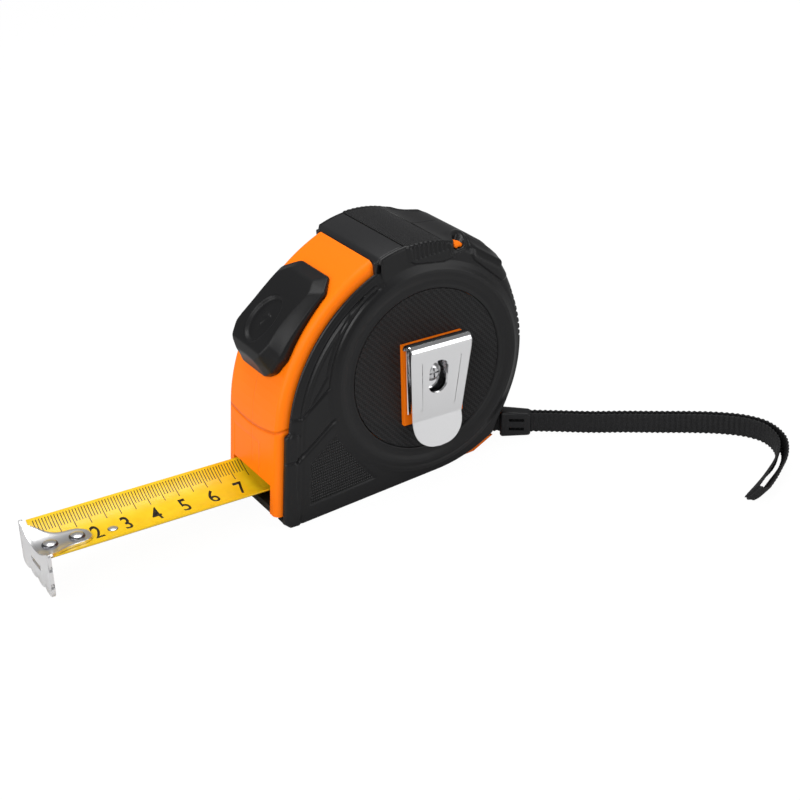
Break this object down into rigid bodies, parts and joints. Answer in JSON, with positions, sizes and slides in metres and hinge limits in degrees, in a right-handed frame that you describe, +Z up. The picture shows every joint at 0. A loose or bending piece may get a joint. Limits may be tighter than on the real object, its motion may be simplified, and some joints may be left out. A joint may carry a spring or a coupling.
{
  "type": "tape measure",
  "caption": "Pocket tape measure with a sprung steel blade, end hook, sliding blade lock, rubber-covered case, belt clip and woven wrist strap.",
  "frame": {"origin": "on the flat base, in the middle of the case's thickness, straight below the reel axis", "axes": "+X from the hook to the rear of the case, +Y away from the belt clip, +Z up from the base"},
  "size_m": [0.2297, 0.1247, 0.0827],
  "materials": {
    "orange_shell": "moulded ABS, satin gloss",
    "black_rubber": "soft-touch overmould, fine spark texture",
    "knurled_rubber": "fine knurl",
    "disc_rubber": "pressed dimple texture",
    "zinc_steel": "bright zinc",
    "white_nylon": "natural nylon",
    "blue_spring_steel": "blued spring steel",
    "yellow_blade": "yellow lacquer under clear nylon",
    "chromed_steel": "bright nickel chrome",
    "gloss_button": "semi-gloss moulded plastic",
    "grey_nylon": "filled nylon",
    "brake_rubber": "plain",
    "slider_plastic": "moulded, satin",
    "webbing": "ribbed polypropylene weave"
  },
  "bodies": {
    "case": {"case_shell_left": "orange_shell", "case_shell_right": "orange_shell", "rubber_grip_left": "black_rubber", "rubber_grip_right": "black_rubber", "top_visor": "black_rubber", "top_grip_band": "knurled_rubber", "side_disc_left": "disc_rubber", "side_disc_right": "disc_rubber", "mouth_bumper": "black_rubber", "case_screws": "zinc_steel", "axle_pin": "zinc_steel", "thrust_washers": "white_nylon", "blade_span": "yellow_blade", "lock_spring": "zinc_steel", "clip_pad": "orange_shell", "belt_clip": "chromed_steel", "clip_screw": "zinc_steel", "strap_pin": "zinc_steel", "strap_slider": "slider_plastic", "wrist_strap": "webbing"},
    "reel": {"reel_drum": "white_nylon", "reel_cover": "white_nylon", "blade_coil": "yellow_blade", "mainspring": "blue_spring_steel"},
    "blade": {"blade": "yellow_blade", "blade_rivet": "chromed_steel", "hook_rivets": "chromed_steel"},
    "hook": {"hook": "chromed_steel"},
    "lock": {"lock_button": "gloss_button", "lock_carrier": "grey_nylon", "brake_pad": "brake_rubber"},
    "clip_leaf": {"clip_leaf": "chromed_steel"}
  },
  "joints": [
    {"name": "blade_slide", "type": "slide", "parent": "case", "child": "blade", "axis": [0.9969, 0, -0.0785], "range_m": [0, 0.0705], "deforming": ["blade_span"]},
    {"name": "reel_spin", "type": "hinge", "parent": "case", "child": "reel", "pos_m": [0, 0, 0.0389], "axis": [0, 1, 0], "range_deg": [-150, 0], "deforming": ["mainspring"]},
    {"name": "hook_float", "type": "slide", "parent": "blade", "child": "hook", "axis": [0.9969, 0, -0.0785], "range_m": [0, 0.001]},
    {"name": "lock_slide", "type": "hinge", "parent": "case", "child": "lock", "pos_m": [0.00601, 0, 0.02201], "axis": [0, 1, 0], "range_deg": [0, 6.5]},
    {"name": "clip_flex", "type": "hinge", "parent": "case", "child": "clip_leaf", "pos_m": [0.00179, -0.0248, 0.04836], "axis": [-0.9969, 0, 0.0785], "range_deg": [0, 6], "stiffness_Nm_per_rad": 3}
  ],
  "couplings": [
    {"joint": "reel_spin", "follows": "blade_slide", "rad_per_m": -36.364}
  ]
}
